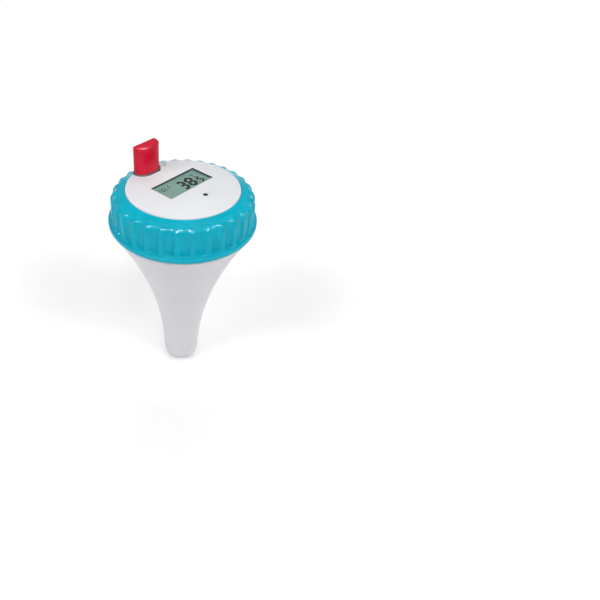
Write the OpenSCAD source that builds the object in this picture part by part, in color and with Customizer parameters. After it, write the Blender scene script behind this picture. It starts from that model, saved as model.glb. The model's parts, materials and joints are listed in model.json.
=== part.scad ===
// Floating pool thermometer.
// A weighted float hull carries a sealed display and sensor module, which a screwed lock ring
// holds down. The module ends in a long stem with two AAA cells and a thermistor probe that
// reaches the tip. The origin is the lowest point of the tip, and +Z points up out of the water.
// The display is read along +X, and the antenna cover stands on the +Y side.

/* [Float hull] */
// Height of the display face above the tip
face_h = 156.9; // [156:0.1:158]
// Outer radius of the rounded tip
tip_r = 13.5; // [13.4:0.1:13.8]
// Outer radius of the shoulder under the lock ring
shoulder_r = 49.7; // [49.4:0.1:49.9]
// Part of the flare that grows evenly with height
flare_even = 2.7; // [2.4:0.1:3]
// Power of the rest of the flare
flare_power = 2.02; // [1.98:0.01:2.06]
// Wall thickness of the hull
hull_wall = 2; // [1.8:0.1:2]
// Bore radius of the threaded neck
neck_bore_r = 40.9; // [40.8:0.05:41]

/* [Lock ring] */
// Number of grip grooves
groove_count = 30; // [24:1:36]
// Radius of a grip groove
groove_r = 2.6; // [2:0.1:2.7]
// Radius of the fluted wall
grip_r = 49.1; // [48.8:0.1:49.3]
// Largest radius, at the bead along the lower edge
bead_r = 51.4; // [51:0.1:52]
// Radius of the opening that shows the display face
ring_opening_r = 39; // [39:0.05:39.3]
// Rise of the thread in one turn
thread_lead = 6; // [5.5:0.5:6.5]
// Depth of the thread
thread_depth = 1.4; // [1.2:0.1:1.4]

/* [Top cover] */
// Radius of the display face
face_r = 38.7; // [38.4:0.1:38.8]
// Thickness of the cover plate
plate_t = 2.2; // [2:0.1:2.4]
// Length of the display opening
display_l = 41.1; // [39:0.1:42]
// Width of the display opening
display_w = 19.3; // [18:0.1:19.6]
// Depth of the scoop beside the antenna cover and of the seat under it
scoop_depth = 3; // [2.6:0.1:3]

/* [Antenna cover] */
// Half of the antenna cover's width
antenna_half_w = 10.2; // [9.8:0.1:10.3]
// How far the bowed front stands out from the cover's middle line
antenna_bow = 8.3; // [8:0.1:8.6]
// Height of the antenna cover above the display face
antenna_h = 20.5; // [19:0.1:22]

/* [Power and probe] */
// Diameter of an AAA cell
cell_d = 10.5; // [10.3:0.1:10.5]
// Length of an AAA cell with its button
cell_l = 44.5; // [44.3:0.1:44.6]
// Outer radius of the battery holder
holder_r = 11.8; // [11.8:0.05:11.9]
// Radius of the steel probe sheath
sheath_r = 2.5; // [2.3:0.1:2.7]

/* [Hidden] */
$fn = 72;

hull_white = [0.86, 0.86, 0.88];
cover_white = [0.9, 0.9, 0.9];
ring_teal = [0.07, 0.7, 0.8];
antenna_red = [0.78, 0.1, 0.17];
seal_black = [0.08, 0.08, 0.09];
board_green = [0.1, 0.35, 0.2];
steel_grey = [0.65, 0.66, 0.68];

// Heights are given as depths below the display face.
function under(depth) = face_h - depth;

shoulder_d = 27.6; // where the hull's flare ends
shoulder_top_d = 27; // the shoulder that the ring comes down to
rim_d = 7.6; // top of the threaded neck
ring_foot_d = 26.7; // underside of the lock ring
ring_lip_d = 4.5; // underside of the ring's inner lip
flange_top_d = 4.8;
flange_foot_d = 7.3;
flange_r = 42.8;
skirt_r = neck_bore_r - 0.4;
skirt_in_r = 37.3;
skirt_foot_d = 18;
thread_root_r = 43.2; // outside of the neck, between its threads
ring_bore_r = 45; // inside of the ring, between its threads
key_w = 4;

display_x = 3.95; // middle of the display
display_y = 4.35;
bezel_l = 46;
bezel_w = 23.4;
panel_l = 44;
panel_w = 22.2;
strip_y = 8.9; // contact strips, either side of the display's middle
led_x = 3.5;
led_y = -17.1;
led_r = 1.65;
scoop_x = 4;
scoop_y = 44;
scoop_r = 17;
scoop_out_r = 37.8; // a thin rim stands between the scoop and the edge of the face
antenna_x = -0.5;
antenna_y = 36.2;
antenna_back = 1.05; // radius of the back corners
antenna_boss_x = 5.2;
antenna_boss_y = 34.2;
antenna_bosses = [[antenna_x - antenna_boss_x, antenna_boss_y],
    [antenna_x + antenna_boss_x, antenna_boss_y]];
coil_y = 33.2;

board_top_d = 11;
board_foot_d = 12.6;
board_r = 36;
tray_top_d = 13;
floor_top_d = 22;
floor_foot_d = 24;
tray_r = 36.8;
board_bosses = [[25, -20], [-25, -20], [-24, 20], [22.5, 22.5]];
chassis_bosses = [[33, 0], [-33, 0], [0, -32], [-17, 29]];

foot_top_d = 78; // foot plate of the stem
holder_top_d = 80;
holder_foot_d = 130;
end_wall = 1.5;
cell_x = 5.4; // the two cells stand side by side
cell_bore_r = 5.4;
upper_cell_top_d = 82;
lower_cell_top_d = 83.5;
door_top_d = 82;
door_foot_d = 128.2;
door_r = 11.75;
door_in_r = 10.85;
door_edge_y = -0.3; // the door is the front half of a tube
foot_front_r = door_in_r - 0.35; // what the door slides past
duct_r = 1.3; // duct for the probe leads
wire_x = 3.4; // duct for the probe leads behind the cells
wire_y = 9.2;
lead_x = 4.4; // holes for the cells' leads
stem_l = 15;
stem_back_y = 5.4;
stem_front_y = -6;
screw_y = 8.6;
channel_x = -16;
channel_y = -14;
key_places = [[8, -20], [18, -16]]; // the reset key and the unit key

// ---- shared shapes ----

// A round bar or disc between two depths.
module disc(r, top_d, foot_d) {
    translate([0, 0, under(foot_d)])
        cylinder(r = r, h = foot_d - top_d);
}

// A tube between two depths.
module tube(r_out, r_in, top_d, foot_d) {
    difference() {
        disc(r_out, top_d, foot_d);
        disc(r_in, top_d - 1, foot_d + 1);
    }
}

// A block between two depths, centred on x and y.
module block(l, w, top_d, foot_d) {
    translate([-l / 2, -w / 2, under(foot_d)])
        cube([l, w, foot_d - top_d]);
}

// Everything given, at each of the places.
module at_each(places) {
    for (p = places)
        translate([p[0], p[1], 0])
            children();
}

// A pan-head screw that points up from head_d to tip_d.
module screw_up(head_r, shank_r, head_d, head_t, tip_d) {
    difference() {
        disc(head_r, head_d, head_d + head_t);
        for (turn = [0, 90])
            rotate([0, 0, turn])
                block(head_r * 1.2, head_r * 0.28, head_d + head_t * 0.5, head_d + head_t + 1);
    }
    disc(shank_r, tip_d, head_d);
}

// A helical thread ridge. It rises with the angle, as on a right-hand screw.
function ridge_point(i, n, j, base_r, crest_r, foot_z, turns, start) =
    let (
        a = start + 360 * turns * i / n,
        ramp = max(0.25, min(1, i / 9, (n - i) / 9)),
        r = (j == 0 || j == 3) ? base_r : base_r + (crest_r - base_r) * ramp,
        half = (j == 0 || j == 3) ? 1.35 : 0.75,
        side = (j < 2 ? -1 : 1) * (crest_r > base_r ? 1 : -1),
        z = foot_z + thread_lead * turns * i / n + side * half
    )
    [r * cos(a), r * sin(a), z];

module thread_ridge(base_r, crest_r, foot_z, turns, start) {
    n = ceil(turns * 48);
    points = [for (i = [0:n]) for (j = [0:3])
        ridge_point(i, n, j, base_r, crest_r, foot_z, turns, start)];
    sides = [for (i = [0:n - 1]) for (j = [0:3]) for (half = [0, 1])
        half == 0
            ? [4 * i + j, 4 * i + (j + 1) % 4, 4 * (i + 1) + (j + 1) % 4]
            : [4 * i + j, 4 * (i + 1) + (j + 1) % 4, 4 * (i + 1) + j]];
    ends = [[3, 2, 1], [3, 1, 0], [4 * n, 4 * n + 1, 4 * n + 2], [4 * n, 4 * n + 2, 4 * n + 3]];
    polyhedron(points = points, faces = concat(sides, ends));
}

// A wire of radius r along a list of points. Each ring of points stands square to the path.
function unit(v) = v / norm(v);

function heading(path, i) =
    unit(path[min(i + 1, len(path) - 1)] - path[max(i - 1, 0)]);

module wire(path, r, sides) {
    n = len(path);
    points = [for (i = [0:n - 1]) for (j = [0:sides - 1])
        let (
            t = heading(path, i),
            u = unit(cross(t, abs(t[1]) < 0.9 ? [0, 1, 0] : [1, 0, 0])),
            v = cross(t, u),
            a = 360 * j / sides
        )
        path[i] + r * (cos(a) * u + sin(a) * v)];
    skin = [for (i = [0:n - 2]) for (j = [0:sides - 1]) for (half = [0, 1])
        half == 0
            ? [sides * i + j, sides * (i + 1) + j, sides * (i + 1) + (j + 1) % sides]
            : [sides * i + j, sides * (i + 1) + (j + 1) % sides, sides * i + (j + 1) % sides]];
    first_cap = [for (j = [0:sides - 1]) j];
    last_cap = [for (j = [0:sides - 1]) sides * (n - 1) + sides - 1 - j];
    polyhedron(points = points, faces = concat(skin, [first_cap, last_cap]));
}

// A path through bend points that eases from one to the next.
function eased(points, steps) =
    [for (i = [0:len(points) - 2]) for (s = [0:steps - 1])
        let (t = s / steps, k = t * t * (3 - 2 * t))
        [
            points[i][0] + (points[i + 1][0] - points[i][0]) * k,
            points[i][1] + (points[i + 1][1] - points[i][1]) * k,
            points[i][2] + (points[i + 1][2] - points[i][2]) * t
        ],
        points[len(points) - 1]];

// A coil of wire round the z axis.
function coil_path(r, foot_z, top_z, turns, steps) =
    [for (i = [0:turns * steps])
        [r * cos(360 * i / steps), r * sin(360 * i / steps),
            foot_z + (top_z - foot_z) * i / (turns * steps)]];

// ---- float hull and ballast ----

shoulder_z = under(shoulder_d);

function hull_r(z) =
    let (t = (z - tip_r) / (shoulder_z - tip_r))
    tip_r + flare_even * t + (shoulder_r - tip_r - flare_even) * pow(t, flare_power);

function flare_heights(steps) =
    [for (i = [1:steps]) tip_r + (shoulder_z - tip_r) * i / steps];

module hull_body() {
    steps = 22;
    outside = concat(
        [for (a = [0:9:90]) [tip_r * sin(a), tip_r - tip_r * cos(a)]],
        [for (z = flare_heights(steps)) [hull_r(z), z]],
        [[shoulder_r - 0.5, under(shoulder_top_d)], [thread_root_r, under(shoulder_top_d)]]);
    rim = [[thread_root_r, under(rim_d + 0.6)], [thread_root_r - 0.6, under(rim_d)],
        [neck_bore_r + 0.5, under(rim_d)], [neck_bore_r, under(rim_d + 0.5)]];
    inner_r = tip_r - hull_wall;
    heights = flare_heights(steps);
    inside = concat(
        [for (i = [steps - 1:-1:0])
            [min(hull_r(heights[i]) - hull_wall, neck_bore_r), heights[i]]],
        [for (a = [90:-9:0]) [inner_r * sin(a), tip_r - inner_r * cos(a)]]);
    rotate_extrude()
        polygon(concat(outside, rim, inside));
}

module float_hull() {
    color(hull_white)
        difference() {
            union() {
                hull_body();
                thread_ridge(thread_root_r - 0.4, thread_root_r + thread_depth,
                    under(23.6), 2, 0);
            }
            translate([0, -neck_bore_r, 0])
                block(key_w + 0.6, 3, rim_d - 1, 11.6);
        }
}

module ballast_weight() {
    top_z = 23.9;
    ball_r = tip_r - hull_wall - 0.3;
    color(steel_grey)
        difference() {
            union() {
                translate([0, 0, tip_r])
                    sphere(r = ball_r);
                translate([0, 0, tip_r])
                    cylinder(r = ball_r, h = top_z - tip_r);
            }
            translate([0, 0, -1])
                cylinder(r = 3.6, h = top_z + 2);
        }
}

module ballast_retainer() {
    color(cover_white)
        difference() {
            translate([0, 0, 24])
                cylinder(r = 11.9, h = 1.3);
            translate([0, 0, 23])
                cylinder(r = 4.2, h = 4);
            for (turn = [45:90:315])
                rotate([0, 0, turn])
                    translate([9.5, -0.6, 23])
                        cube([4, 1.2, 4]);
        }
}

module thermal_pad() {
    color([0.45, 0.55, 0.75])
        translate([0, 0, 2.6])
            cylinder(r = 3.1, h = 1.3);
}

// ---- lock ring ----

module ring_body() {
    lip_r = ring_opening_r;
    profile = [[lip_r, under(ring_lip_d)], [lip_r, under(0.9)], [lip_r + 0.4, under(0.5)],
        [46.9, under(4.3)], [47.9, under(5.3)], [48.7, under(6.9)], [grip_r, under(9)],
        [grip_r, under(20.8)], [grip_r + 0.7, under(21.8)], [bead_r - 0.5, under(22.6)],
        [bead_r, under(23.6)], [bead_r, under(24.6)], [bead_r - 0.4, under(25.9)],
        [bead_r - 1.4, under(ring_foot_d)], [ring_bore_r, under(ring_foot_d)],
        [ring_bore_r, under(9.4)], [43.6, under(8)], [43.6, under(ring_lip_d)]];
    rotate_extrude()
        polygon(profile);
}

module lock_ring() {
    color(ring_teal)
        difference() {
            union() {
                ring_body();
                thread_ridge(ring_bore_r + 0.4, ring_bore_r - thread_depth,
                    under(23.2 - thread_lead / 2), 1.75, 0);
            }
            for (i = [0:groove_count - 1])
                rotate([0, 0, 360 * (i + 0.75) / groove_count])
                    translate([grip_r + 0.4, 0, under(21.3)])
                        cylinder(r = groove_r, h = 21, $fn = 24);
        }
}

// ---- top cover and display ----

module cover_body() {
    profile = [[0, under(0)], [face_r - 0.6, under(0)], [face_r - 0.2, under(0.2)],
        [face_r, under(0.6)], [face_r, under(flange_top_d)], [flange_r, under(flange_top_d)],
        [flange_r, under(flange_foot_d)], [skirt_r, under(flange_foot_d)],
        [skirt_r, under(13)], [38.9, under(13)], [38.9, under(15)], [skirt_r, under(15)],
        [skirt_r, under(skirt_foot_d)], [skirt_in_r, under(skirt_foot_d)],
        [skirt_in_r, under(plate_t)], [0, under(plate_t)]];
    rotate_extrude()
        polygon(profile);
}

module scoop_wall() {
    intersection() {
        translate([scoop_x, scoop_y, 0])
            disc(scoop_r + 3, 1, scoop_depth + 2);
        disc(skirt_in_r + 1, 1, scoop_depth + 2);
    }
}

module top_cover() {
    boss_r = 3;
    color(cover_white)
        difference() {
            union() {
                cover_body();
                scoop_wall();
                at_each(board_bosses)
                    disc(boss_r, plate_t - 0.5, board_top_d - 0.05);
                at_each(chassis_bosses)
                    disc(boss_r, plate_t - 0.5, board_top_d - 0.05);
                translate([0, -skirt_r, 0])
                    block(key_w, 2.2, flange_foot_d - 0.5, 11);
            }
            intersection() {
                translate([scoop_x, scoop_y, 0])
                    disc(scoop_r, -1, scoop_depth);
                disc(scoop_out_r, -1, scoop_depth);
            }
            antenna_prism(-0.35, -1, scoop_depth);
            translate([display_x, display_y, 0]) {
                block(display_l, display_w, -1, plate_t + 1);
                block(bezel_l + 0.2, bezel_w + 0.2, 0.5, plate_t + 1);
            }
            translate([led_x, led_y, 0])
                disc(led_r + 0.05, -1, plate_t + 1);
            at_each(board_bosses)
                disc(0.95, 4, board_top_d + 1);
            at_each(chassis_bosses)
                disc(1.2, 4, board_top_d + 1);
            at_each(antenna_bosses)
                disc(1.2, scoop_depth - 1, scoop_depth + 4);
            translate([antenna_x, coil_y, 0])
                disc(2.2, scoop_depth - 1, scoop_depth + 4);
        }
}

module cover_o_ring() {
    color(seal_black)
        translate([0, 0, under(14)])
            rotate_extrude()
                translate([39.86, 0])
                    circle(r = 0.94, $fn = 32);
}

module display_bezel() {
    color([0.2, 0.24, 0.25])
        translate([display_x, display_y, 0])
            difference() {
                block(bezel_l, bezel_w, 0.52, 1.1);
                block(display_l, display_w, 0, 2);
            }
}

module display_window() {
    color([0.85, 0.92, 0.9, 0.35])
        translate([display_x, display_y, 0])
            block(bezel_l, bezel_w, 1.12, 1.6);
}

module display_panel() {
    color([0.55, 0.7, 0.65])
        translate([display_x, display_y, 0]) {
            block(panel_l, panel_w - 2.4, 1.7, 2.8);
            block(panel_l, panel_w, 2.8, 3.7);
        }
}

module display_frame() {
    color([0.93, 0.93, 0.9])
        translate([display_x, display_y, 0])
            difference() {
                block(panel_l + 6, panel_w + 6, 2.6, board_top_d - 0.02);
                block(panel_l + 0.3, panel_w + 0.3, 2, 3.75);
                block(38, 13, 2, board_top_d + 1);
                for (side = [-1, 1])
                    translate([0, side * strip_y, 0])
                        block(41, 2.4, 2, board_top_d + 1);
            }
}

module zebra_strips() {
    color([0.85, 0.45, 0.5])
        translate([display_x, display_y, 0])
            for (side = [-1, 1])
                translate([0, side * strip_y, 0])
                    block(40.6, 2, 3.72, board_top_d - 0.02);
}

// ---- electronics ----

module main_board() {
    color(board_green)
        difference() {
            disc(board_r, board_top_d, board_foot_d);
            at_each(board_bosses)
                disc(1.3, board_top_d - 1, board_foot_d + 1);
            at_each(chassis_bosses)
                disc(1.7, board_top_d - 1, board_foot_d + 1);
        }
}

module board_screws() {
    color(steel_grey)
        at_each(board_bosses)
            screw_up(2.3, 0.9, board_foot_d + 0.02, 1.4, 5);
}

module control_chip() {
    color(seal_black)
        translate([-9, 8, 0])
            rotate([0, 0, 45])
                block(9, 9, board_foot_d + 0.1, board_foot_d + 1.5);
    color(steel_grey)
        translate([-9, 8, 0])
            for (turn = [45:90:315])
                rotate([0, 0, turn])
                    for (i = [-4:4])
                        translate([4.9, i * 0.9, 0])
                            block(0.8, 0.35, board_foot_d + 0.02, board_foot_d + 0.5);
}

module buffer_capacitor() {
    color([0.15, 0.2, 0.3])
        translate([10, 13, 0])
            disc(3.1, board_foot_d + 0.05, board_foot_d + 7);
}

module radio_module() {
    color([0.1, 0.25, 0.45])
        translate([2, 23.2, 0])
            block(20, 7.4, board_top_d - 1, board_top_d - 0.02);
    color(steel_grey)
        translate([6, 23.2, 0])
            block(10, 6, board_top_d - 3.2, board_top_d - 1);
}

module status_led() {
    color([0.8, 0.2, 0.2])
        translate([led_x, led_y, 0]) {
            disc(1.5, 7, board_top_d - 0.02);
            disc(1.9, 10, board_top_d - 0.02);
        }
}

module led_lens() {
    color([0.1, 0.1, 0.12])
        translate([led_x, led_y, 0]) {
            disc(led_r, 0.15, 6.8);
            disc(2.3, plate_t + 0.05, 3.2);
        }
}

// ---- antenna ----

// The antenna cover's outline: a flat back, small back corners and a bowed front.
function bow_point(a, inset) =
    let (
        c = cos(a),
        s = sin(a),
        n = 2 / 2.5
    )
    [antenna_x + (antenna_half_w - inset) * sign(c) * pow(abs(c), n),
        antenna_y - (antenna_bow - inset) * pow(abs(s), n)];

function back_corner(a, side, inset) =
    [antenna_x + side * (antenna_half_w - antenna_back + (antenna_back - inset) * cos(a)),
        antenna_y + (antenna_back - inset) * sin(a)];

function antenna_outline(inset) =
    concat(
        [for (a = [180:9:360]) bow_point(a, inset)],
        [for (a = [22.5:22.5:90]) back_corner(a, 1, inset)],
        [for (a = [90:-22.5:22.5]) back_corner(a, -1, inset)]);

module antenna_prism(inset, top_d, foot_d) {
    translate([0, 0, under(foot_d)])
        linear_extrude(height = foot_d - top_d)
            polygon(antenna_outline(inset));
}

antenna_foot_d = scoop_depth - 0.6;

module antenna_cover() {
    roof = 1.4;
    color(antenna_red)
        difference() {
            union() {
                antenna_prism(0, -antenna_h + roof, antenna_foot_d);
                hull() {
                    antenna_prism(0, -antenna_h + roof, -antenna_h + roof + 0.1);
                    antenna_prism(0.4, -antenna_h + 0.4, -antenna_h + 0.5);
                    antenna_prism(0.95, -antenna_h, -antenna_h + 0.1);
                }
            }
            difference() {
                antenna_prism(0.98, -antenna_h + 2, antenna_foot_d + 1);
                at_each(antenna_bosses)
                    disc(2.1, -14, antenna_foot_d);
            }
            at_each(antenna_bosses)
                disc(0.95, -12, antenna_foot_d + 1);
        }
}

module antenna_gasket() {
    color(seal_black)
        difference() {
            intersection() {
                antenna_prism(-0.2, antenna_foot_d + 0.02, scoop_depth - 0.02);
                disc(face_r, 0, scoop_depth + 1);
            }
            at_each(antenna_bosses)
                disc(1.2, 1, scoop_depth + 1);
            translate([antenna_x, coil_y, 0])
                disc(2.2, 1, scoop_depth + 1);
        }
}

module antenna_coil() {
    coil_r = 1.7;
    foot_z = under(0);
    winding = coil_path(coil_r, foot_z, foot_z + 16, 10, 12);
    lead = [[coil_r, 0, under(board_top_d - 3.3)], [coil_r, 0, under(5)], [coil_r, 0, under(2)]];
    color([0.75, 0.5, 0.25])
        translate([antenna_x, coil_y, 0])
            wire(concat(lead, winding), 0.35, 6);
}

module antenna_screws() {
    color(steel_grey)
        at_each(antenna_bosses)
            screw_up(1.6, 0.9, scoop_depth + 2.02, 1.2, -8);
}

// ---- chassis and its controls ----

module stem_section(inset) {
    translate([-stem_l / 2 + inset, stem_front_y + inset])
        square([stem_l - 2 * inset, stem_back_y - stem_front_y - 2 * inset]);
}

module chassis() {
    color([0.82, 0.83, 0.85])
        difference() {
            union() {
                disc(tray_r, floor_top_d, floor_foot_d);
                tube(tray_r, tray_r - 1.8, tray_top_d, floor_foot_d);
                at_each(chassis_bosses)
                    disc(3.1, board_foot_d + 0.05, floor_foot_d);
                translate([0, 0, under(floor_foot_d + 10)])
                    cylinder(r1 = 9, r2 = 16, h = 10);
                translate([0, 0, under(holder_top_d)])
                    linear_extrude(height = holder_top_d - floor_foot_d)
                        stem_section(0);
                intersection() {
                    disc(11.4, foot_top_d, holder_top_d);
                    union() {
                        translate([-20, 0, 0])
                            cube([40, 20, face_h]);
                        disc(foot_front_r, foot_top_d, holder_top_d);
                    }
                }
            }
            translate([0, 0, under(holder_top_d + 1)])
                linear_extrude(height = holder_top_d - floor_top_d + 2)
                    stem_section(1.8);
            at_each(chassis_bosses) {
                disc(1.4, board_foot_d - 1, floor_foot_d + 1);
                disc(2.4, floor_foot_d - 1.6, floor_foot_d + 1);
            }
            translate([channel_x, channel_y, 0])
                block(7.4, 2.6, floor_top_d - 1, floor_foot_d + 1);
            at_each(key_places)
                disc(2.3, floor_top_d - 1, floor_foot_d + 1);
            translate([0, screw_y, 0])
                disc(1.2, foot_top_d - 1, holder_top_d + 1);
            translate([wire_x, wire_y, 0])
                disc(duct_r, floor_top_d - 1, holder_top_d + 1);
        }
}

module chassis_screws() {
    color(steel_grey)
        at_each(chassis_bosses)
            screw_up(2.2, 1.1, floor_foot_d - 1.55, 1.3, 5);
}

module switch_case() {
    color(steel_grey)
        translate([channel_x, channel_y, 0])
            block(11, 5.5, board_foot_d + 0.1, floor_top_d - 0.9);
}

module channel_switch() {
    color(seal_black)
        translate([channel_x, channel_y, 0]) {
            block(2.8, 2, floor_top_d - 0.6, floor_foot_d + 1.4);
            block(5, 4, floor_top_d - 0.6, floor_top_d - 0.3);
        }
}

module key_switches() {
    color([0.25, 0.25, 0.27])
        at_each(key_places) {
            block(6, 6, board_foot_d + 0.1, 18.6);
            disc(1.7, 18.6, 19.6);
        }
}

module key_cap() {
    disc(2, floor_top_d - 1.2, floor_foot_d + 1.2);
    disc(3, floor_top_d - 1.2, floor_top_d - 0.3);
}

module reset_button() {
    color([0.2, 0.35, 0.6])
        at_each([key_places[0]])
            key_cap();
}

module unit_button() {
    color([0.85, 0.85, 0.85])
        at_each([key_places[1]])
            key_cap();
}

// ---- battery stem ----

module battery_holder() {
    color([0.82, 0.83, 0.85])
        difference() {
            disc(holder_r, holder_top_d + 0.02, holder_foot_d);
            for (side = [-1, 1])
                translate([side * cell_x, 0, 0])
                    disc(cell_bore_r, holder_top_d + end_wall, holder_foot_d - end_wall);
            translate([0, -holder_r / 2, 0])
                block(2 * holder_r + 1, holder_r, holder_top_d + end_wall,
                    holder_foot_d - end_wall);
            translate([0, screw_y, 0])
                disc(0.95, holder_top_d - 1, holder_top_d + 9);
            translate([wire_x, wire_y, 0])
                disc(duct_r, holder_top_d - 1, holder_foot_d + 1);
            translate([wire_x / 2, wire_y / 2, 0])
                rotate([0, 0, atan2(wire_y, wire_x)])
                    block(norm([wire_x, wire_y]) + 1, 2 * duct_r, holder_foot_d - duct_r,
                        holder_foot_d + 1);
            for (side = [-1, 1])
                translate([side * lead_x, 0, 0])
                    disc(1.2, holder_top_d - 1, holder_top_d + 3);
            block(2 * cell_x + 6.6, 5.4, holder_foot_d - end_wall - 0.45,
                holder_foot_d - end_wall);
            // the front half of the top wall stays inside the door, which slides up past it
            difference() {
                disc(holder_r + 1, holder_top_d - 1, holder_foot_d - end_wall);
                disc(foot_front_r, holder_top_d - 2, holder_foot_d);
                translate([-20, 0, 0])
                    cube([40, 40, face_h]);
            }
        }
}

module holder_screw() {
    color(steel_grey)
        translate([0, screw_y, under(foot_top_d)]) {
            difference() {
                cylinder(r = 1.9, h = 1.3);
                for (turn = [0, 90])
                    rotate([0, 0, turn])
                        translate([-1.2, -0.3, 0.7])
                            cube([2.4, 0.6, 1]);
            }
            translate([0, 0, -9])
                cylinder(r = 0.9, h = 9);
        }
}

// An AAA cell with its button up, its top at the given depth.
module cell(top_d) {
    button_h = 0.9;
    disc(1.9, top_d, top_d + 2);
    disc(cell_d / 2, top_d + button_h, top_d + cell_l);
}

module battery_cell_1() {
    color([0.15, 0.35, 0.6])
        translate([-cell_x, 0, 0])
            cell(upper_cell_top_d);
}

module battery_cell_2() {
    middle = under(lower_cell_top_d + cell_l / 2);
    color([0.15, 0.35, 0.6])
        translate([cell_x, 0, middle])
            rotate([180, 0, 0])
                translate([0, 0, -middle])
                    cell(lower_cell_top_d);
}

module cell_springs() {
    color(steel_grey) {
        translate([cell_x, 0, 0])
            wire(coil_path(2.6, under(lower_cell_top_d - 0.3), under(82.25), 2, 16), 0.22, 6);
        translate([-cell_x, 0, 0])
            wire(coil_path(2.6, under(127.75), under(upper_cell_top_d + cell_l + 0.3), 2, 16),
                0.22, 6);
    }
}

module cell_contacts() {
    color(steel_grey) {
        for (side = [-1, 1])
            translate([side * cell_x, 0, 0])
                block(6, 6, 81.52, 81.9);
        block(cell_x * 2 + 6, 5, 128.1, 128.48);
    }
}

module battery_door() {
    color([0.72, 0.74, 0.77])
        difference() {
            tube(door_r, door_in_r, door_top_d, door_foot_d);
            translate([-20, door_edge_y, 0])
                cube([40, 40, face_h]);
            for (i = [0:3])
                translate([0, -door_r, 0])
                    block(6, 0.9, door_top_d + 4 + 2 * i, door_top_d + 4.9 + 2 * i);
        }
}

// ---- leads and probe ----

module cell_lead(side, shade) {
    path = eased([
        [side * lead_x, 0, under(81.45)],
        [side * lead_x, 0, under(79)],
        [side * 4, -1.5, under(72)],
        [side * 3, -1, under(50)],
        [side * 3, -0.5, under(26)],
        [side * 6, -4, under(18)],
        [side * 6, -4, under(board_foot_d + 0.05)]], 3);
    color(shade)
        wire(path, 0.65, 8);
}

module positive_lead() {
    cell_lead(-1, [0.8, 0.1, 0.1]);
}

module negative_lead() {
    cell_lead(1, [0.1, 0.1, 0.1]);
}

module probe_sheath() {
    tip_d = 150;
    color(steel_grey)
        difference() {
            union() {
                disc(sheath_r, holder_foot_d + 0.02, tip_d);
                translate([0, 0, under(tip_d)])
                    sphere(r = sheath_r);
                disc(4.4, holder_foot_d + 0.02, holder_foot_d + 0.8);
            }
            disc(sheath_r - 0.35, holder_foot_d - 1, tip_d);
            translate([0, 0, under(tip_d)])
                sphere(r = sheath_r - 0.35);
        }
}

module thermistor() {
    color([0.1, 0.12, 0.15])
        translate([0, 0, under(149.6)])
            sphere(r = 1.2, $fn = 32);
}

module probe_leads() {
    color([0.85, 0.85, 0.82])
        for (side = [-1, 1])
            wire(eased([
                [side * 0.5, 0, under(148.3)],
                [side * 0.5, 0, under(132)],
                [side * 0.5, 0, under(129.7)],
                [wire_x + side * 0.5, wire_y, under(129.2)],
                [wire_x + side * 0.5, wire_y, under(80)],
                [wire_x + side * 0.5, wire_y, under(board_foot_d + 0.05)]], 2), 0.3, 6);
}

// ---- the assembly ----

float_hull();
ballast_weight();
ballast_retainer();
thermal_pad();
lock_ring();
top_cover();
cover_o_ring();
display_bezel();
display_window();
display_panel();
display_frame();
zebra_strips();
main_board();
board_screws();
control_chip();
buffer_capacitor();
radio_module();
status_led();
led_lens();
antenna_cover();
antenna_gasket();
antenna_coil();
antenna_screws();
chassis();
chassis_screws();
battery_holder();
holder_screw();
battery_cell_1();
battery_cell_2();
cell_springs();
cell_contacts();
battery_door();
positive_lead();
negative_lead();
probe_sheath();
thermistor();
probe_leads();
switch_case();
channel_switch();
key_switches();
reset_button();
unit_button();
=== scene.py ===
import json
import math

import bmesh
import bpy
from mathutils import Matrix, Vector


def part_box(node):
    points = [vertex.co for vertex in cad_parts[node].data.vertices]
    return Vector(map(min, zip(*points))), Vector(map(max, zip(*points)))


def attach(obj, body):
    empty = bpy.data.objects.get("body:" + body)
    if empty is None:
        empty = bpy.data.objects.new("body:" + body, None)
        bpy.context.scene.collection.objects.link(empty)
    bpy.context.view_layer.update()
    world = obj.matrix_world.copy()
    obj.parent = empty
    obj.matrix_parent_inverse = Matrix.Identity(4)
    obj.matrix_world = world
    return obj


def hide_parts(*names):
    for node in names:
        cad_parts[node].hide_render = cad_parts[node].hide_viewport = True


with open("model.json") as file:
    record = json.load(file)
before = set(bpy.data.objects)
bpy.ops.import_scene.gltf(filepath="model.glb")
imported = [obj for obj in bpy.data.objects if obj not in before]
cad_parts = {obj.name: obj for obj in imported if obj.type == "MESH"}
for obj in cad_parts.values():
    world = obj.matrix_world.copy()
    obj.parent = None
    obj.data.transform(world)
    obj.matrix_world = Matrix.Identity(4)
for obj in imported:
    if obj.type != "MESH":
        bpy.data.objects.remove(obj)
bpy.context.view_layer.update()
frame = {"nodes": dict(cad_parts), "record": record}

MM = 0.001
NODES = frame["nodes"]

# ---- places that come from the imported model, in millimetres ----


def box_mm(node):
    """The low and high corners of a node's box."""
    low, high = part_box(node)
    return low / MM, high / MM


FACE = box_mm("top_cover")[1].z     # the display face; depths are measured down from it
RING_FOOT = box_mm("lock_ring")[0].z
BEAD_R = box_mm("lock_ring")[1].x
HULL_TOP = box_mm("float_hull")[1].z
window_low, window_high = box_mm("display_window")
bezel_low, bezel_high = box_mm("display_bezel")
panel_high = box_mm("display_panel")[1]
antenna_low, antenna_high = box_mm("antenna_cover")

# ---- sizes that the boxes don't give ----

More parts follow.
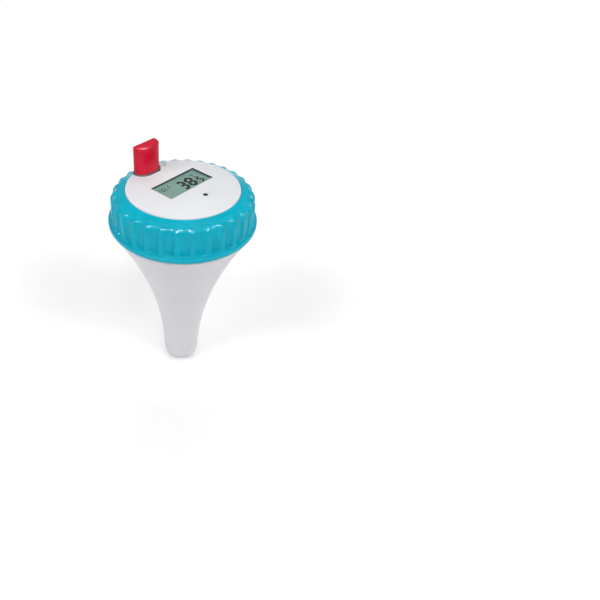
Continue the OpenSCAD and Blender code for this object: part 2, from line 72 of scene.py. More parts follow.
TIP_R = 13.5              # the hull's round tip
SHOULDER_R = 49.7         # where the flare ends, just under the ring
SHOULDER_Z = RING_FOOT - 0.9
FLARE_EVEN = 2.7          # part of the flare that widens evenly with height
FLARE_POWER = 2.02        # and how sharply the rest opens towards the top
HULL_WALL = 2.0
NECK_BORE_R = 40.9
NECK_OUT_R = 43.2
KEY_HALF = 2.3            # half the width of the key slot in the neck's rim
KEY_DEPTH = 11.6          # depth of that slot's floor
THREAD_LEAD = 6.0
THREAD_DEPTH = 1.4
GRIP_R = 49.1             # the ring's upright wall, over the ribs
RING_BORE_R = 45.0
OPENING_R = 39.0          # the opening the face shows through
FLUTES = 30
FACE_R = 38.85
SCOOP = (4.0, 44.0, 17.0)     # x, y and radius of the round scoop in the face
SCOOP_DEPTH = 3.0
SCOOP_OUT_R = 37.8        # where the scoop stops short of the face's edge
LED = (3.5, -17.1)
LED_R = 1.8


# ---- mesh helpers ----


def new_object(name, verts, faces, sharp=35, body="module"):
    """A smooth-shaded mesh object in metres, from millimetre points, on a body."""
    mesh = bpy.data.meshes.new(name)
    mesh.from_pydata([tuple(c * MM for c in v) for v in verts], [], faces)
    clean = bmesh.new()
    clean.from_mesh(mesh)
    bmesh.ops.remove_doubles(clean, verts=clean.verts, dist=1e-7)
    bmesh.ops.dissolve_degenerate(clean, edges=clean.edges, dist=1e-8)
    bmesh.ops.recalc_face_normals(clean, faces=clean.faces)
    clean.to_mesh(mesh)
    clean.free()
    mesh.shade_smooth()
    mesh.set_sharp_from_angle(angle=math.radians(sharp))
    obj = bpy.data.objects.new(name, mesh)
    bpy.context.scene.collection.objects.link(obj)
    if body:
        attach(obj, body)
    return obj


def filleted(points, segments=8):
    """Rounds the corners of a closed outline. Each point is (x, y, radius)."""
    out = []
    count = len(points)
    for i, (x, y, radius) in enumerate(points):
        here = Vector((x, y))
        before = Vector(points[i - 1][:2]) - here
        after = Vector(points[(i + 1) % count][:2]) - here
        if radius <= 0:
            out.append((x, y))
            continue
        half = before.angle(after) / 2
        reach = min(radius / math.tan(half), before.length * 0.49, after.length * 0.49)
        radius = reach * math.tan(half)
        start = here + before.normalized() * reach
        end = here + after.normalized() * reach
        middle = here + (before.normalized() + after.normalized()).normalized() * (
            radius / math.sin(half))
        a, b = start - middle, end - middle
        sweep = a.angle_signed(b)
        for k in range(segments + 1):
            turn = -sweep * k / segments
            out.append((middle.x + a.x * math.cos(turn) - a.y * math.sin(turn),
                        middle.y + a.x * math.sin(turn) + a.y * math.cos(turn)))
    return out


def lathe(name, profile, angles, warp=None, sharp=35, body="module"):
    """Turns a closed profile of (radius, depth) round the axis. warp may move each point."""
    verts, faces = [], []
    rows, columns = len(profile), len(angles)
    for angle in angles:
        for r, depth in profile:
            if warp:
                r, depth = warp(r, depth, angle)
            verts.append((r * math.cos(angle), r * math.sin(angle), FACE - depth))
    for j in range(columns):
        k = (j + 1) % columns
        for i in range(rows):
            n = (i + 1) % rows
            faces.append((j * rows + i, k * rows + i, k * rows + n, j * rows + n))
    return new_object(name, verts, faces, sharp, body)


def even_angles(count):
    """Angles at even steps round a full turn."""
    return [2 * math.pi * i / count for i in range(count)]


def thread_ridge(base_r, crest_r, foot_z, turns):
    """Points and faces of a helical ridge that fades out at both ends."""
    count = math.ceil(turns * 96)
    verts, faces = [], []
    outward = 1 if crest_r > base_r else -1
    section = ((0, -1.35), (0.72, -1.0), (1, -0.62), (1, 0.62), (0.72, 1.0), (0, 1.35))
    size = len(section)
    for i in range(count + 1):
        angle = 2 * math.pi * turns * i / count
        ramp = max(0.2, min(1, i / 18, (count - i) / 18))
        for out, up in section:
            r = base_r + (crest_r - base_r) * out * ramp
            verts.append((r * math.cos(angle), r * math.sin(angle),
                          foot_z + THREAD_LEAD * turns * i / count + up * outward))
    for i in range(count):
        for j in range(size):
            k = (j + 1) % size
            faces.append((i * size + j, i * size + k, (i + 1) * size + k, (i + 1) * size + j))
    faces.append(tuple(range(size)))
    faces.append(tuple(count * size + j for j in reversed(range(size))))
    return verts, faces


def joined(first, *others):
    """One object out of several, keeping the first one's name and body."""
    work = bmesh.new()
    for obj in (first, *others):
        work.from_mesh(obj.data)
    work.to_mesh(first.data)
    work.free()
    for obj in others:
        bpy.data.objects.remove(obj)
    first.data.set_sharp_from_angle(angle=math.radians(35))
    return first


def prism(name, outline, low_depth, high_depth, body=None):
    """A straight solid between two depths over an outline of (x, y)."""
    count = len(outline)
    verts = [(x, y, FACE - low_depth) for x, y in outline]
    verts += [(x, y, FACE - high_depth) for x, y in outline]
    faces = [tuple(range(count)), tuple(range(2 * count - 1, count - 1, -1))]
    faces += [(i, (i + 1) % count, count + (i + 1) % count, count + i) for i in range(count)]
    return new_object(name, verts, faces, 35, body)


def ring_of(x, y, radius, count):
    """A circle's outline of count points."""
    return [(x + radius * math.cos(a), y + radius * math.sin(a)) for a in even_angles(count)]


def rectangle(x, y, length, width, corner=0.0):
    """The outline of a rectangle about (x, y)."""
    half_l, half_w = length / 2, width / 2
    return filleted([(x - half_l, y - half_w, corner), (x + half_l, y - half_w, corner),
                     (x + half_l, y + half_w, corner), (x - half_l, y + half_w, corner)], 5)


def carved(base, cutters, bevel):
    """base minus the cutters, with every sharp edge rounded by bevel millimetres."""
    for cutter in cutters:
        cut = base.modifiers.new("cut", "BOOLEAN")
        cut.operation, cut.solver, cut.object = "DIFFERENCE", "EXACT", cutter
    soft = base.modifiers.new("soft", "BEVEL")
    soft.width, soft.segments, soft.limit_method = bevel * MM, 4, "ANGLE"
    soft.angle_limit, soft.harden_normals = math.radians(50), True
    soft.miter_outer = "MITER_ARC"
    graph = bpy.context.evaluated_depsgraph_get()
    mesh = bpy.data.meshes.new_from_object(base.evaluated_get(graph))
    base.modifiers.clear()
    base.data = mesh
    for cutter in cutters:
        bpy.data.objects.remove(cutter)
    return base


# ---- materials ----


def node_of(tree, kind, **values):
    """A new shader node with its settings or input values set."""
    made = tree.nodes.new(kind)
    for key, value in values.items():
        if hasattr(made, key):
            setattr(made, key, value)
        else:
            made.inputs[key].default_value = value
    return made


def noise(tree, where, scale, detail=3.0):
    made = node_of(tree, "ShaderNodeTexNoise", Scale=scale, Detail=detail)
    tree.links.new(where, made.inputs["Vector"])
    return made.outputs["Fac"]


def spread(tree, value, low, high):
    """Maps the middle of a noise's range onto low to high."""
    made = node_of(tree, "ShaderNodeMapRange")
    made.inputs["From Min"].default_value, made.inputs["From Max"].default_value = 0.3, 0.7
    made.inputs["To Min"].default_value, made.inputs["To Max"].default_value = low, high
    tree.links.new(value, made.inputs["Value"])
    return made.outputs["Result"]


def material(name, colour, rough=0.35, metal=0.0, coat=0.0, tone=0.03, tone_scale=60,
             grain=0.012, gloss_spread=0.05, specular=0.5):
    """Moulded plastic or metal: slow colour drift, uneven gloss, and a fine surface grain."""
    made = bpy.data.materials.new(name)
    made.use_nodes = True
    tree = made.node_tree
    shader = tree.nodes["Principled BSDF"]
    where = tree.nodes.new("ShaderNodeTexCoord").outputs["Object"]
    drift = node_of(tree, "ShaderNodeValToRGB")
    drift.color_ramp.elements[0].position, drift.color_ramp.elements[1].position = 0.35, 0.65
    drift.color_ramp.elements[0].color = (*[c * (1 - tone) for c in colour], 1)
    drift.color_ramp.elements[1].color = (*[min(1, c * (1 + tone)) for c in colour], 1)
    tree.links.new(noise(tree, where, tone_scale), drift.inputs["Fac"])
    tree.links.new(drift.outputs["Color"], shader.inputs["Base Color"])
    tree.links.new(spread(tree, noise(tree, where, tone_scale * 7, 5.0),
                          rough - gloss_spread, rough + gloss_spread), shader.inputs["Roughness"])
    bump = node_of(tree, "ShaderNodeBump", Strength=grain, Distance=0.0002)
    tree.links.new(noise(tree, where, 2600, 4.0), bump.inputs["Height"])
    tree.links.new(bump.outputs["Normal"], shader.inputs["Normal"])
    shader.inputs["Metallic"].default_value = metal
    shader.inputs["Coat Weight"].default_value = coat
    shader.inputs["Coat Roughness"].default_value = 0.08
    shader.inputs["Specular IOR Level"].default_value = specular
    return made


def paint(obj, made):
    """Gives the object one material."""
    obj.data.materials.clear()
    obj.data.materials.append(made)
    return obj


HULL_WHITE = material("hull_abs", (0.585, 0.578, 0.612), rough=0.36, tone=0.012, grain=0.02)
COVER_WHITE = material("cover_abs", (0.655, 0.665, 0.69), rough=0.42, tone=0.012, grain=0.05)
RING_TEAL = material("ring_abs", (0.002, 0.365, 0.488), rough=0.09, tone=0.04, grain=0.01,
                     gloss_spread=0.02, specular=0.12)
ANTENNA_RED = material("antenna_abs", (0.55, 0.004, 0.026), rough=0.08, tone=0.05, grain=0.008,
                       gloss_spread=0.02, specular=0.18)

# ---- float hull ----


def hull_r(z):
    """Outer radius of the stem and flare at a height above the tip."""
    t = max(0.0, (z - TIP_R) / (SHOULDER_Z - TIP_R))
    return TIP_R + FLARE_EVEN * t + (SHOULDER_R - TIP_R - FLARE_EVEN) * t ** FLARE_POWER


def hull_profile():
    """Outside from the tip up, the neck, then the inside back down to the tip."""
    rows = 96
    outside = [(TIP_R * math.sin(a), TIP_R - TIP_R * math.cos(a))
               for a in [math.pi / 2 * i / 28 for i in range(29)]]
    outside += [(hull_r(z), z) for z in
                [TIP_R + (SHOULDER_Z - TIP_R) * i / rows for i in range(1, rows)]]
    shoulder_top = SHOULDER_Z + 0.6
    neck = filleted([(hull_r(SHOULDER_Z), SHOULDER_Z - 0.4, 0),
                     (SHOULDER_R - 0.02, shoulder_top, 0.5),
                     (NECK_OUT_R, shoulder_top, 0.3), (NECK_OUT_R, HULL_TOP, 0.6),
                     (NECK_BORE_R, HULL_TOP, 0.5), (NECK_BORE_R, shoulder_top - 4, 0)], 6)
    inner_r = TIP_R - HULL_WALL
    inside = [(min(hull_r(z) - HULL_WALL, NECK_BORE_R), z) for z in
              [TIP_R + (SHOULDER_Z - 6 - TIP_R) * i / rows for i in range(rows, 0, -1)]]
    inside += [(inner_r * math.sin(a), TIP_R - inner_r * math.cos(a))
               for a in [math.pi / 2 * i / 20 for i in range(20, -1, -1)]]
    return [(r, FACE - z) for r, z in outside + neck + inside]


def hull_notch(r, depth, angle):
    """The key slot in the neck's rim, on the -Y side."""
    in_slot = abs(r * math.cos(angle)) < KEY_HALF and math.sin(angle) < 0
    if in_slot and r > NECK_BORE_R - 1 and depth < KEY_DEPTH:
        depth = KEY_DEPTH
    return r, depth


slot_half = KEY_HALF / NECK_OUT_R
slot_edges = [1.5 * math.pi + side * (slot_half + nudge)
              for side in (-1, 1) for nudge in (-0.004, 0.004)]
hull_angles = sorted(even_angles(192) + slot_edges)
hull = lathe("hull_shell", hull_profile(), hull_angles, hull_notch, 40, "hull")
ridge = new_object("hull_thread", *thread_ridge(
    NECK_OUT_R - 0.4, NECK_OUT_R + THREAD_DEPTH, FACE - 23.6, 2), 50, None)
joined(hull, ridge)
paint(hull, HULL_WHITE)
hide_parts("float_hull")

# ---- lock ring ----

RIB_START_R = 43.3        # where the ribs rise out of the cone
CONE_SLOPE = 0.507        # fall of the cone for each millimetre outward
RIB_FOOT_DEPTH = 22.6     # where the ribs have run out into the bead
RIB_STEPS = 58            # points down each rib line
GROOVE_PHASE = 0.75       # place of the first groove, in flutes from the +X axis
MARK = 1000               # added to a rib point's number, to stand in for its depth


def cone_depth(r):
    """Depth of the ring's sloping top at a radius."""
    return 0.5 + (r - 39.4) * CONE_SLOPE


def evenly_along(points, count):
    """Points at even steps along an open line."""
    gaps = [math.dist(a, b) for a, b in zip(points, points[1:])]
    total, out = sum(gaps), []
    for i in range(count):
        left, k = total * i / (count - 1), 0
        while k < len(gaps) - 1 and left > gaps[k]:
            left -= gaps[k]
            k += 1
        share = min(1.0, left / gaps[k]) if gaps[k] else 0.0
        (r1, d1), (r2, d2) = points[k], points[k + 1]
        out.append((r1 + (r2 - r1) * share, d1 + (d2 - d1) * share))
    return out


def rounded_line(points, count):
    """An open line with filleted corners, at even steps."""
    closed = filleted(points + [(30, points[-1][1], 0), (30, points[0][1], 0)], 16)
    return evenly_along(closed[:-2], count)


rib_start = (RIB_START_R, cone_depth(RIB_START_R))
rib_foot = (GRIP_R + 0.7, RIB_FOOT_DEPTH)
rib_line = rounded_line([(*rib_start, 0), (44.3, cone_depth(44.3) - 0.6, 0.8),
                         (47.3, cone_depth(47.3) - 0.7, 4.4), (GRIP_R + 0.1, 7.4, 2.4),
                         (GRIP_R + 0.1, 21.2, 1.4), (*rib_foot, 0)], RIB_STEPS)
groove_line = rounded_line([(*rib_start, 0), (45.7, cone_depth(45.7), 1.6),
                            (47.0, 6.0, 2.0), (47.3, 22.4, 0.4), (*rib_foot, 0)], RIB_STEPS)


def rib_weight(angle, step):
    """1 on the middle of a rib and 0 in the middle of a groove.

    The ribs are narrow and round over the shoulder, and broad with firm edges down the wall."""
    wave = -math.cos((angle / (2 * math.pi) * FLUTES - GROOVE_PHASE) * 2 * math.pi)
    down = min(1.0, max(0.0, (step / RIB_STEPS - 0.3) / 0.25))
    firm = 0.3 + 1.1 * down
    weight = 0.5 + 0.5 * math.tanh(firm * wave) / math.tanh(firm)
    return weight ** (1.9 - 0.6 * firm)


def ring_flutes(r, depth, angle):
    """Marked points go between the groove's line and the rib's; the others stay."""
    if depth >= MARK:
        (r1, d1), (r2, d2) = groove_line[depth - MARK], rib_line[depth - MARK]
        share = rib_weight(angle, depth - MARK)
        return r1 + (r2 - r1) * share, d1 + (d2 - d1) * share
    return r, depth


def ring_profile():
    """The lip, the cone, the marked rib points, then the bead and the bore."""
    foot = FACE - RING_FOOT
    lip = filleted([(43.6, 4.5, 0), (OPENING_R, 4.5, 0), (OPENING_R, 0.3, 0.35),
                    (*rib_start, 0)], 8)
    cone = evenly_along([lip[-2], lip[-1]], 6)
    ribs = [(0, MARK + i) for i in range(1, RIB_STEPS - 1)]
    bead = filleted([(*rib_foot, 0), (BEAD_R, 22.8, 0.25), (BEAD_R, foot - 0.2, 2.0),
                     (RING_BORE_R, foot, 0.3), (RING_BORE_R, 9.4, 0.3), (43.6, 8, 0)], 14)
    return lip[:-2] + cone + ribs + bead


ring = lathe("grip_ring", ring_profile(), even_angles(FLUTES * 24), ring_flutes, 40, "ring")
ridge = new_object("ring_thread", *thread_ridge(
    RING_BORE_R + 0.4, RING_BORE_R - THREAD_DEPTH, FACE - 20.2, 1.75), 50, None)
joined(ring, ridge)
paint(ring, RING_TEAL)
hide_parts("lock_ring")

# ---- top cover ----

display_x = (window_low.x + window_high.x) / 2
display_y = (window_low.y + window_high.y) / 2
OPEN_L = window_high.x - window_low.x - 4.9       # the opening is smaller than the window
OPEN_W = window_high.y - window_low.y - 4.1

ANTENNA_X = (antenna_low.x + antenna_high.x) / 2
ANTENNA_HALF = (antenna_high.x - antenna_low.x) / 2
ANTENNA_Y = 36.2          # the line where the bowed front meets the rounded back corners
ANTENNA_BOW = 8.3         # how far the front bows out from that line
ANTENNA_BACK = 1.05       # radius of the back corners
ANTENNA_SQUARE = 2.5      # 2 makes the front an ellipse; more makes it squarer
ANTENNA_TOP = antenna_high.z - FACE
ANTENNA_FOOT = FACE - antenna_low.z


def antenna_outline(inset):
    """Flat back, rounded back corners and a bowed front."""
    points = []
    power = 2 / ANTENNA_SQUARE
    for i in range(61):
        a = math.pi + math.pi * i / 60
        c, s = math.cos(a), math.sin(a)
        points.append((
            ANTENNA_X + (ANTENNA_HALF - inset) * math.copysign(abs(c) ** power, c),
            ANTENNA_Y - (ANTENNA_BOW - inset) * abs(s) ** power))
    reach = ANTENNA_BACK - inset
    for side, turns in ((1, range(1, 9)), (-1, range(8, 0, -1))):
        for i in turns:
            a = math.pi / 2 * i / 8
            points.append((
                ANTENNA_X + side * (ANTENNA_HALF - ANTENNA_BACK + reach * math.cos(a)),
                ANTENNA_Y + reach * math.sin(a)))
    return points


def cover_profile():
    """The face with its rounded rim, the flange, and the skirt with the O-ring's groove."""
    return [(0, 0), (FACE_R - 0.5, 0), (FACE_R - 0.15, 0.14), (FACE_R, 0.5), (FACE_R, 4.8),
            (42.8, 4.8), (42.8, 7.3), (40.5, 7.3), (40.5, 13), (38.9, 13), (38.9, 15),
            (40.5, 15), (40.5, 18), (37.3, 18), (37.3, 2.2), (0, 2.2)]


def scoop_outline():
    """The scoop's circle where it lies inside the thin rim of the face."""
    x, y, r = SCOOP
    inside = [p for p in ring_of(x, y, r, 720) if math.hypot(*p) < SCOOP_OUT_R]
    start = next(i for i, p in enumerate(inside)
                 if math.dist(p, inside[i - 1]) > 2)
    arc = inside[start:] + inside[:start]
    first, last = (math.atan2(p[1], p[0]) for p in (arc[-1], arc[0]))
    rim = [(SCOOP_OUT_R * math.cos(a), SCOOP_OUT_R * math.sin(a))
           for a in [first + (last - first) * k / 60 for k in range(61)]]
    return arc + rim


cover = lathe("face_cover", cover_profile(), even_angles(256), None, 40)
scoop_floor = prism("scoop_floor", ring_of(*SCOOP[:2], SCOOP[2] + 3, 192), 0.6, 4.8)
trim = lathe("trim", [(0, -2), (37.9, -2), (37.9, 8), (0, 8)], even_angles(256), None, 40)
keep = scoop_floor.modifiers.new("keep", "BOOLEAN")
keep.operation, keep.solver, keep.object = "INTERSECT", "EXACT", trim
add = cover.modifiers.new("add", "BOOLEAN")
add.operation, add.solver, add.object = "UNION", "EXACT", scoop_floor
cutters = [
    prism("cut_scoop", scoop_outline(), -2, SCOOP_DEPTH),
    prism("cut_seat", antenna_outline(-0.95), -2, SCOOP_DEPTH),
    prism("cut_open", rectangle(display_x, display_y, OPEN_L, OPEN_W, 0.4), -2, 4),
    prism("cut_bezel", rectangle(display_x, display_y, bezel_high.x - bezel_low.x + 0.2,
                                 bezel_high.y - bezel_low.y + 0.2), 0.5, 4),
    prism("cut_led", ring_of(*LED, LED_R, 48), -2, 4)]
carved(cover, cutters, 0.22)
bpy.data.objects.remove(scoop_floor)
bpy.data.objects.remove(trim)
paint(cover, COVER_WHITE)
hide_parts("top_cover")

# ---- antenna cover ----


def antenna_shell():
    """The upright cover: a straight wall, a rounded top edge and a flat top."""
    edge = 1.35
    levels = [(0.0, -ANTENNA_FOOT), (0.0, 0.0)]
    levels += [(0.0, (ANTENNA_TOP - edge) * k / 6) for k in range(1, 6)]
    levels += [(edge * (1 - math.cos(a)), ANTENNA_TOP - edge + edge * math.sin(a))
               for a in [math.pi / 2 * i / 8 for i in range(9)]]
    outlines = [[(x, y, FACE + z) for x, y in antenna_outline(inset)] for inset, z in levels]
    size = len(outlines[0])
    verts = [v for line in outlines for v in line]
    faces = []
    for i in range(len(outlines) - 1):
        for j in range(size):
            k = (j + 1) % size
            faces.append((i * size + j, i * size + k, (i + 1) * size + k, (i + 1) * size + j))
    last = (len(outlines) - 1) * size
    middle = Vector((ANTENNA_X, ANTENNA_Y - 2.5))
    for share in (0.97, 0.6, 0.25):
        start = len(verts)
        verts += [(middle.x + (v[0] - middle.x) * share, middle.y + (v[1] - middle.y) * share,
                   FACE + ANTENNA_TOP) for v in outlines[-1]]
        for j in range(size):
            k = (j + 1) % size
            faces.append((last + j, last + k, start + k, start + j))
        last = start
    faces.append(tuple(last + j for j in range(size)))
    faces.append(tuple(reversed(range(size))))
    return verts, faces


antenna = new_object("antenna_shell", *antenna_shell(), 40, "module")
paint(antenna, ANTENNA_RED)
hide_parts("antenna_cover")

# ---- the dark bezel, which also lines the opening in the cover ----


def bezel_frame():
    """A flat frame in the recess with a thin lip up the opening's walls."""
    inner = rectangle(display_x, display_y, OPEN_L - 0.3, OPEN_W - 0.3, 0.3)
    lip_out = rectangle(display_x, display_y, OPEN_L - 0.04, OPEN_W - 0.04, 0.4)
    outer = rectangle(display_x, display_y, bezel_high.x - bezel_low.x,
                      bezel_high.y - bezel_low.y, 0.5)
    step, foot = FACE - bezel_high.z, FACE - bezel_low.z
    lines = [(outer, foot), (outer, step), (lip_out, step), (lip_out, 0.16), (inner, 0.16),
             (inner, foot)]
    size = len(outer)
    verts = [(x, y, FACE - depth) for line, depth in lines for x, y in line]
    faces = []
    for i in range(len(lines)):
        for j in range(size):
            k, n = (j + 1) % size, (i + 1) % len(lines)
            faces.append((i * size + j, i * size + k, n * size + k, n * size + j))
    return verts, faces


bezel = new_object("bezel_frame", *bezel_frame(), 35, "module")
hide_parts("display_bezel")

# ---- a black lip that hugs the antenna cover's foot and stands above the face, making a dark band there ----


def foot_band():
    """A lip that hugs the cover, over the sheet that fills the seat."""
    outer, inner = antenna_outline(-0.9), antenna_outline(-0.02)
    top, foot = -0.8, SCOOP_DEPTH - 0.02
    size = len(outer)
    rings = [(outer, foot), (outer, top + 0.2), (antenna_outline(-0.75), top), (inner, top),
             (inner, foot)]
    verts = [(x, y, FACE - depth) for line, depth in rings for x, y in line]
    faces = []
    for i in range(len(rings)):
        for j in range(size):
            k, n = (j + 1) % size, (i + 1) % len(rings)
            faces.append((i * size + j, i * size + k, n * size + k, n * size + j))
    return verts, faces


# The lip is black all round and stands 0.8 mm above the face, so it draws a dark band round the
# cover's foot.
lip = new_object("dark_foot_band", *foot_band(), 40, "module")

# ---- display digits ----

SEGMENTS = {"1": "bc", "3": "abcdg", "5": "acdfg", "8": "abcdefg", "C": "adef"}
LCD_Z = panel_high.z + 0.03


def bar(x, y, length, thick, upright):
    """A six-sided display segment with pointed ends, about (x, y)."""
    half, point = length / 2, thick / 2
    shape = [(-half, 0), (-half + point, point), (half - point, point), (half, 0),
             (half - point, -point), (-half + point, -point)]
    return [(x - b, y + a) if upright else (x + a, y + b) for a, b in shape]


def digit(mark, x, y, width, height, thick, lean=0.06):
    """The bars of one seven-segment mark, with its lower left corner at (x, y)."""
    gap = thick * 0.06
    flat, tall = width - thick - gap, height / 2 - thick / 2 - gap
    middle, right = x + width / 2, x + width - thick / 2
    left, top = x + thick / 2, y + height - thick / 2
    low = y + thick / 2
    centre = y + height / 2
    upper, lower = (centre + top) / 2, (centre + low) / 2
    places = {"a": (middle, top, flat, False), "g": (middle, centre, flat, False),
              "d": (middle, low, flat, False), "b": (right, upper, tall, True),
              "c": (right, lower, tall, True), "e": (left, lower, tall, True),
              "f": (left, upper, tall, True)}
    bars = []
    for key in SEGMENTS[mark]:
        px, py, length, upright = places[key]
        bars.append([(bx + (by - y) * lean, by) for bx, by in bar(px, py, length, thick, upright)])
    return bars


def flat_shapes(name, outlines, z, thickness, made):
    """Thin closed plates over the outlines, as one object on the display."""
    verts, faces = [], []
    for outline in outlines:
        start, count = len(verts), len(outline)
        verts += [(x, y, z) for x, y in outline] + [(x, y, z - thickness) for x, y in outline]
        faces.append(tuple(start + i for i in range(count)))
        faces.append(tuple(start + count + i for i in reversed(range(count))))
        faces += [(start + i, start + count + i, start + count + (i + 1) % count,
                   start + (i + 1) % count) for i in range(count)]
    obj = new_object(name, verts, faces, 30, "module")
    return paint(obj, made)


LCD_DARK = material("lcd_dark", (0.002, 0.006, 0.004), rough=0.5, tone=0.1, specular=0.2)
LCD_MID = material("lcd_mid", (0.01, 0.024, 0.018), rough=0.5, tone=0.1, specular=0.2)
LCD_FAINT = material("lcd_faint", (0.02, 0.04, 0.03), rough=0.5, tone=0.1, specular=0.2)
# (-16.6, -5.3) is the lower left corner of what the opening shows.
flat_shapes("display_digits_large", digit("3", 0.3, -2.4, 6.5, 11.8, 2.3)
            + digit("8", 7.6, -2.4, 6.9, 11.9, 2.3), LCD_Z, 0.02, LCD_DARK)
flat_shapes("display_digit_small", digit("5", 16.2, -2.3, 4.6, 7.2, 1.6), LCD_Z, 0.02, LCD_DARK)
flat_shapes("display_point", [ring_of(15.2, -1.6, 0.65, 16)], LCD_Z, 0.02, LCD_MID)
degree = [ring_of(16.6, 9.5, 0.7, 20)]
flat_shapes("display_unit", digit("C", 17.4, 5.2, 2.7, 4.7, 0.85) + degree, LCD_Z, 0.02, LCD_MID)


def wave_icon(x, y):
    """Two ripples, for the water sensor."""
    shapes = []
    for row in range(2):
        upper, lower = [], []
        for i in range(25):
            px = x + 5.6 * i / 24
            py = y + 2.5 * row + 0.7 * math.sin(i / 24 * 3.5 * math.pi)
            upper.append((px, py + 0.42))
            lower.append((px, py - 0.42))
        shapes.append(upper + lower[::-1])
    return shapes


flat_shapes("display_icon", wave_icon(-13.1, 7.4) + digit("1", -6.6, 7.0, 2.2, 4.4, 0.8),
            LCD_Z, 0.02, LCD_FAINT)

# ---- materials of the pieces that keep their CAD shape ----


def window_material():
    """Clear flat acrylic: mostly see-through, with a soft reflection at a low angle."""
    made = bpy.data.materials.new("window_acrylic")
    made.use_nodes = True
    tree = made.node_tree
    tree.nodes.remove(tree.nodes["Principled BSDF"])
    clear = node_of(tree, "ShaderNodeBsdfTransparent")
    clear.inputs["Color"].default_value = (0.97, 0.985, 0.98, 1)
    shine = node_of(tree, "ShaderNodeBsdfGlossy")
    where = tree.nodes.new("ShaderNodeTexCoord").outputs["Object"]
    tree.links.new(spread(tree, noise(tree, where, 500), 0.1, 0.18), shine.inputs["Roughness"])
    edge = node_of(tree, "ShaderNodeLayerWeight", Blend=0.005)
    mix = node_of(tree, "ShaderNodeMixShader")
    tree.links.new(edge.outputs["Facing"], mix.inputs["Fac"])
    tree.links.new(clear.outputs[0], mix.inputs[1])
    tree.links.new(shine.outputs[0], mix.inputs[2])
    tree.links.new(mix.outputs[0], tree.nodes["Material Output"].inputs["Surface"])
    return made


STEEL = dict(metal=1.0, rough=0.3, tone=0.05, grain=0.06)
finishes = {
    "ballast_steel": material("turned_steel", (0.42, 0.43, 0.45), **STEEL),
    "inner_plastic": material("inner_abs", (0.6, 0.61, 0.64), rough=0.45, grain=0.08),
    "soft_seal": material("silicone", (0.4, 0.32, 0.4), rough=0.6),
    "black_rubber": material("black_silicone", (0.018, 0.018, 0.02), rough=0.6, tone=0.15),
    "dark_trim": material("dark_abs", (0.04, 0.06, 0.066), rough=0.5, tone=0.08),
    "clear_window": window_material(),
    "display_glass": material("lcd_green", (0.2, 0.315, 0.275), rough=0.45, tone=0.03,
                              tone_scale=110, specular=0.25),
    "smoked_lens": material("smoked", (0.009, 0.01, 0.013), rough=0.3, specular=0.2),
    "door_plastic": material("door_abs", (0.42, 0.44, 0.47), rough=0.45, grain=0.08),
    "board": material("solder_mask", (0.015, 0.12, 0.045), rough=0.3, tone=0.3,
                      tone_scale=500, coat=0.3),
    "black_component": material("epoxy", (0.02, 0.02, 0.022), rough=0.45, grain=0.1),
    "blue_key": material("blue_abs", (0.03, 0.12, 0.34), rough=0.4),
    "plated_metal": material("nickel", (0.66, 0.65, 0.62), **STEEL),
    "screw_steel": material("zinc", (0.55, 0.56, 0.58), **STEEL),
    "stainless": material("stainless", (0.6, 0.61, 0.63), **STEEL),
    "copper": material("enamelled_copper", (0.62, 0.26, 0.1), **STEEL),
    "cell_jacket": material("foil_jacket", (0.035, 0.12, 0.32), rough=0.3,
                            gloss_spread=0.02, grain=0.0),
    "red_wire": material("red_pvc", (0.5, 0.01, 0.01), rough=0.4),
    "black_wire": material("black_pvc", (0.015, 0.015, 0.016), rough=0.4),
    "white_wire": material("white_pvc", (0.66, 0.66, 0.63), rough=0.4),
}
paint(lip, finishes["black_rubber"])
paint(bezel, finishes["dark_trim"])
for part in frame["record"]["subparts"]:
    obj = NODES[part["node"]]
    if not obj.hide_render:
        paint(obj, finishes[part["material_slot"]])

# ---- floor, light and camera ----


def studio_floor():
    """A wide floor just under the tip."""
    mesh = bpy.data.meshes.new("studio_floor")
    mesh.from_pydata([(-8, -8, -0.0005), (8, -8, -0.0005), (8, 8, -0.0005), (-8, 8, -0.0005)],
                     [], [(0, 1, 2, 3)])
    floor = bpy.data.objects.new("studio_floor", mesh)
    bpy.context.scene.collection.objects.link(floor)
    floor.data.materials.append(material("paper", (0.9, 0.9, 0.9), rough=0.9, tone=0.004,
                                         grain=0.0, specular=0.0))


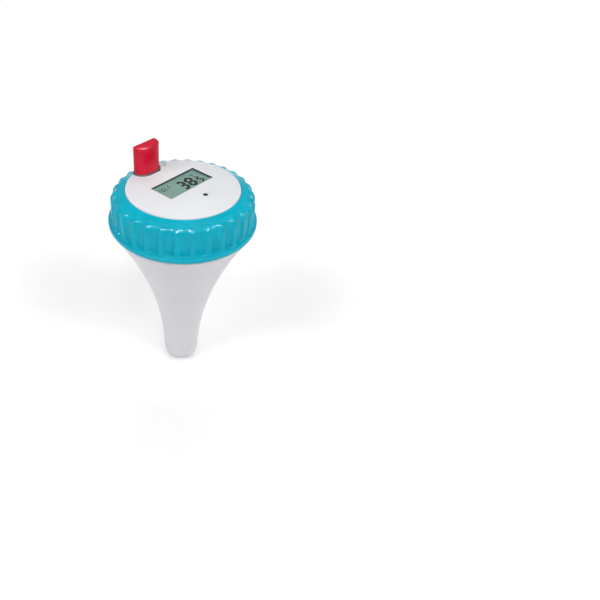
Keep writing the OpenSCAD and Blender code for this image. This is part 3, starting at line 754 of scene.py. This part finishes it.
studio_floor()
world = bpy.data.worlds.new("studio")
world.use_nodes = True
world.node_tree.nodes["Background"].inputs["Color"].default_value = (1, 1, 1, 1)
world.node_tree.nodes["Background"].inputs["Strength"].default_value = 0.34
bpy.context.scene.world = world
bpy.context.scene.view_settings.view_transform = "Standard"

camera_place = Vector((-0.2550, -0.2384, 0.3581))
camera_aim = Vector((0.0003, -0.0004, 0.0718))
CAMERA_ROLL = math.radians(0.77)
LAMPS = 6
FIRST_LAMP = -63          # degrees to the right of the camera
LAMP_STEP = 27


def soft_sun(name, azimuth, height, width, strength, gloss_only=False):
    """Distant soft light. azimuth turns to the right of the camera; all angles in degrees."""
    data = bpy.data.lights.new(name, "SUN")
    data.energy, data.angle = strength, math.radians(width)
    lamp = bpy.data.objects.new(name, data)
    away = camera_place - camera_aim
    turn = math.atan2(away.y, away.x) + math.radians(azimuth)
    rise = math.radians(height)
    back = Vector((math.cos(turn) * math.cos(rise), math.sin(turn) * math.cos(rise),
                   math.sin(rise)))
    lamp.rotation_euler = back.to_track_quat("Z", "Y").to_euler()
    lamp.visible_diffuse = not gloss_only
    bpy.context.scene.collection.objects.link(lamp)


soft_sun("soft_left", -70, 38, 50, 0.42)
soft_sun("soft_right", 65, 38, 50, 0.42)
soft_sun("soft_back", 175, 62, 50, 0.8)
soft_sun("glint_front", 4, 54, 14, 0.72)
soft_sun("glint_left", -52, 46, 14, 0.58)
soft_sun("glint_right", 48, 46, 14, 0.58)
for i in range(LAMPS):      # a row of small lamps for the highlights along the ring's shoulder
    soft_sun(f"small_lamp_{i + 1}", FIRST_LAMP + LAMP_STEP * i, 50, 8, 4.4, True)

lens = bpy.data.cameras.new("camera")
lens.lens, lens.sensor_width = 35.62, 36
lens.shift_x, lens.shift_y = 0.1959, -0.0242
lens.clip_start, lens.clip_end = 0.01, 50
camera = bpy.data.objects.new("camera", lens)
look = (camera_aim - camera_place).to_track_quat("-Z", "Y").to_matrix().to_4x4()
camera.matrix_world = (Matrix.Translation(camera_place) @ look
                       @ Matrix.Rotation(CAMERA_ROLL, 4, "Z"))
bpy.context.scene.collection.objects.link(camera)
bpy.context.scene.camera = camera
